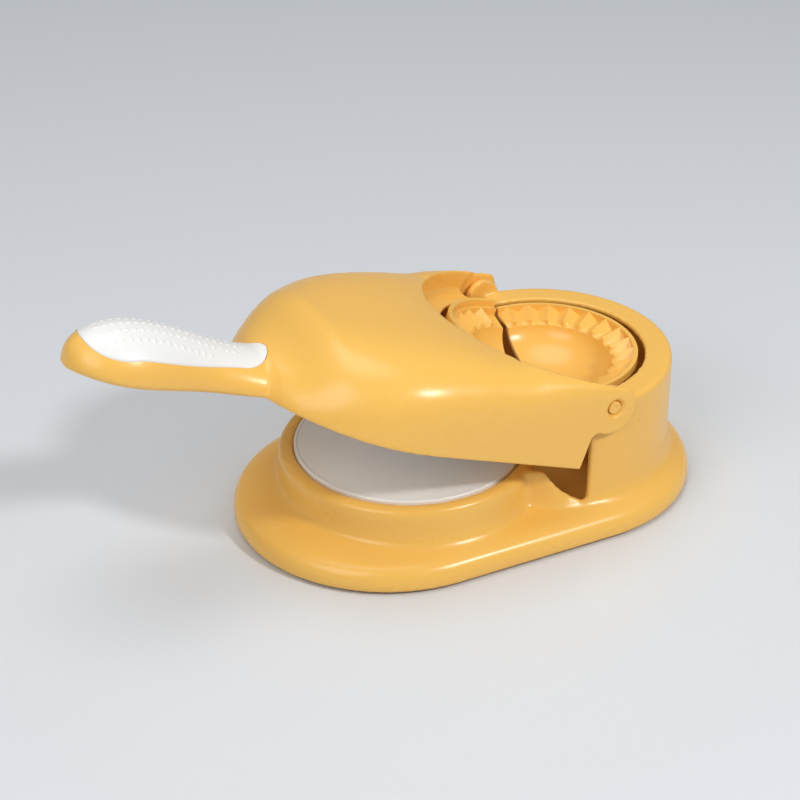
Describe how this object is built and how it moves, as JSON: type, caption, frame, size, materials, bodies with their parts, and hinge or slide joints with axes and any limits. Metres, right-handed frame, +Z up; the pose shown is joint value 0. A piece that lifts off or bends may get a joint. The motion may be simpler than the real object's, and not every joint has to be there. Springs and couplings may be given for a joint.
{
  "type": "hand dumpling press",
  "caption": "Hand press for filled dough pockets: dough plate, crimping mould halves in tower and lid, and a long handle on a hinged lid.",
  "frame": {"origin": "on the table, under the middle of the base's footprint", "axes": "+Z up, -X along the handle, +X toward the round tower, Y along the hinge axis"},
  "size_m": [0.264, 0.125, 0.1122],
  "materials": {
    "yellow_plastic": "satin",
    "white_plastic": "satin",
    "screw_steel": "satin",
    "foot_rubber": "matte"
  },
  "bodies": {
    "base": {"base_shell": "yellow_plastic", "bottom_cover": "yellow_plastic", "cover_screws": "screw_steel", "rubber_feet": "foot_rubber", "dough_plate": "white_plastic", "dough_plate_screws": "screw_steel", "fixed_mould": "yellow_plastic", "fixed_mould_screws": "screw_steel"},
    "lid": {"lid_shell": "yellow_plastic", "handle_grip": "white_plastic", "grip_screws": "screw_steel", "lid_liner": "yellow_plastic", "liner_screws": "screw_steel", "press_plate": "white_plastic", "press_plate_screws": "screw_steel", "folding_mould": "yellow_plastic", "folding_mould_screws": "screw_steel", "near_hinge_pin": "yellow_plastic", "far_hinge_pin": "yellow_plastic"}
  },
  "joints": [
    {"name": "lid_hinge", "type": "hinge", "parent": "base", "child": "lid", "pos_m": [0.0355, 0, 0.057], "axis": [0, 1, 0], "range_deg": [-20.5, 159.5]}
  ]
}
